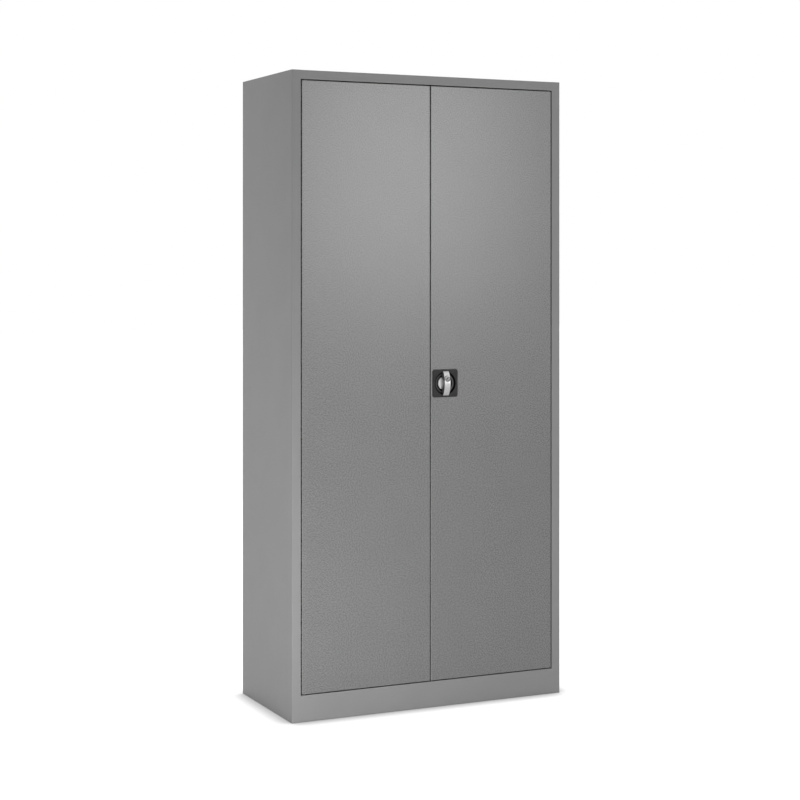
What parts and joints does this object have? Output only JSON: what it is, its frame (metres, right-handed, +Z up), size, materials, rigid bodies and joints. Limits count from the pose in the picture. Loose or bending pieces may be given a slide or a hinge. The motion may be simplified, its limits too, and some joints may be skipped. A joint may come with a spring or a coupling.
{
  "type": "two-door steel storage cupboard",
  "caption": "Tall grey steel storage cupboard with hinged double doors, a recessed rotary lock handle and adjustable shelves inside.",
  "frame": {"origin": "on the floor, below the middle of the whole object's box; the handle stands 19.7 mm proud of the doors, so the front face is at Y = -0.20015 and the back at Y = 0.21985", "axes": "+Z up, -Y out of the doors, +X to the right of someone who faces them"},
  "size_m": [0.92, 0.4398, 1.95],
  "materials": {
    "frame_paint": "satin grey powder coat",
    "door_paint": "fine-textured grey powder coat",
    "inner_paint": "satin grey powder coat",
    "black_plastic": "finely grained black",
    "satin_silver": "satin-plated zinc casting",
    "zinc_steel": "bright zinc plate",
    "plug_metal": "nickel-plated",
    "buffer_rubber": "matt black",
    "bush_nylon": "black nylon"
  },
  "bodies": {
    "carcass": {"left_side_panel": "frame_paint", "right_side_panel": "frame_paint", "back_panel": "frame_paint", "top_panel": "frame_paint", "floor_pan": "frame_paint", "front_left_post": "inner_paint", "front_right_post": "inner_paint", "rear_left_post": "inner_paint", "rear_right_post": "inner_paint", "left_upper_pivot_pin": "zinc_steel", "left_lower_pivot_pin": "zinc_steel", "right_upper_pivot_pin": "zinc_steel", "right_lower_pivot_pin": "zinc_steel", "left_upper_buffer": "buffer_rubber", "left_lower_buffer": "buffer_rubber", "right_upper_buffer": "buffer_rubber", "right_lower_buffer": "buffer_rubber", "shelf_1_clip_front_left": "zinc_steel", "shelf_1_clip_front_right": "zinc_steel", "shelf_1_clip_rear_left": "zinc_steel", "shelf_1_clip_rear_right": "zinc_steel", "shelf_2_clip_front_left": "zinc_steel", "shelf_2_clip_front_right": "zinc_steel", "shelf_2_clip_rear_left": "zinc_steel", "shelf_2_clip_rear_right": "zinc_steel", "shelf_3_clip_front_left": "zinc_steel", "shelf_3_clip_front_right": "zinc_steel", "shelf_3_clip_rear_left": "zinc_steel", "shelf_3_clip_rear_right": "zinc_steel", "shelf_4_clip_front_left": "zinc_steel", "shelf_4_clip_front_right": "zinc_steel", "shelf_4_clip_rear_left": "zinc_steel", "shelf_4_clip_rear_right": "zinc_steel"},
    "left_door": {"left_door_panel": "door_paint", "left_door_stiffener": "inner_paint", "left_upper_bush": "bush_nylon", "left_lower_bush": "bush_nylon", "bolt_keeper": "zinc_steel"},
    "right_door": {"right_door_panel": "door_paint", "right_door_stiffener": "inner_paint", "right_upper_bush": "bush_nylon", "right_lower_bush": "bush_nylon", "handle_plate": "black_plastic", "lock_case": "zinc_steel", "case_screw_1": "zinc_steel", "case_screw_2": "zinc_steel", "upper_rod_guide": "zinc_steel", "lower_rod_guide": "zinc_steel"},
    "handle": {"turn_handle": "satin_silver", "lock_cylinder": "zinc_steel", "crank_plate": "zinc_steel", "spindle_screw": "zinc_steel"},
    "plug": {"lock_plug": "plug_metal"},
    "upper_rod": {"upper_lock_rod": "zinc_steel"},
    "lower_rod": {"lower_lock_rod": "zinc_steel"},
    "side_bolt": {"side_bolt": "zinc_steel"},
    "shelf_1": {"shelf_1": "inner_paint"},
    "shelf_2": {"shelf_2": "inner_paint"},
    "shelf_3": {"shelf_3": "inner_paint"},
    "shelf_4": {"shelf_4": "inner_paint"}
  },
  "joints": [
    {"name": "left_door_hinge", "type": "hinge", "parent": "carcass", "child": "left_door", "pos_m": [-0.4178, -0.19315, 1], "axis": [0, 0, -1], "range_deg": [0, 110]},
    {"name": "right_door_hinge", "type": "hinge", "parent": "carcass", "child": "right_door", "pos_m": [0.4178, -0.19315, 1], "axis": [0, 0, 1], "range_deg": [0, 110]},
    {"name": "handle_turn", "type": "hinge", "parent": "right_door", "child": "handle", "pos_m": [0.05, -0.20015, 1], "axis": [0, -1, 0], "range_deg": [0, 90]},
    {"name": "plug_turn", "type": "hinge", "parent": "handle", "child": "plug", "pos_m": [0.05, -0.20015, 1.015], "axis": [0, -1, 0], "range_deg": [0, 90]},
    {"name": "upper_rod_slide", "type": "slide", "parent": "right_door", "child": "upper_rod", "axis": [0, 0, 1], "range_m": [0, 0.01301]},
    {"name": "lower_rod_slide", "type": "slide", "parent": "right_door", "child": "lower_rod", "axis": [0, 0, -1], "range_m": [0, 0.01301]},
    {"name": "side_bolt_slide", "type": "slide", "parent": "right_door", "child": "side_bolt", "axis": [-1, 0, 0], "range_m": [0, 0.01301]},
    {"name": "shelf_1_lift", "type": "slide", "parent": "carcass", "child": "shelf_1", "axis": [0, 0, 1], "range_m": [0, 0.02]},
    {"name": "shelf_2_lift", "type": "slide", "parent": "carcass", "child": "shelf_2", "axis": [0, 0, 1], "range_m": [0, 0.02]},
    {"name": "shelf_3_lift", "type": "slide", "parent": "carcass", "child": "shelf_3", "axis": [0, 0, 1], "range_m": [0, 0.02]},
    {"name": "shelf_4_lift", "type": "slide", "parent": "carcass", "child": "shelf_4", "axis": [0, 0, 1], "range_m": [0, 0.02]}
  ],
  "couplings": [
    {"joint": "upper_rod_slide", "follows": "handle_turn", "m_per_rad": 0.00828},
    {"joint": "lower_rod_slide", "follows": "handle_turn", "m_per_rad": 0.00828},
    {"joint": "side_bolt_slide", "follows": "handle_turn", "m_per_rad": 0.00828}
  ]
}
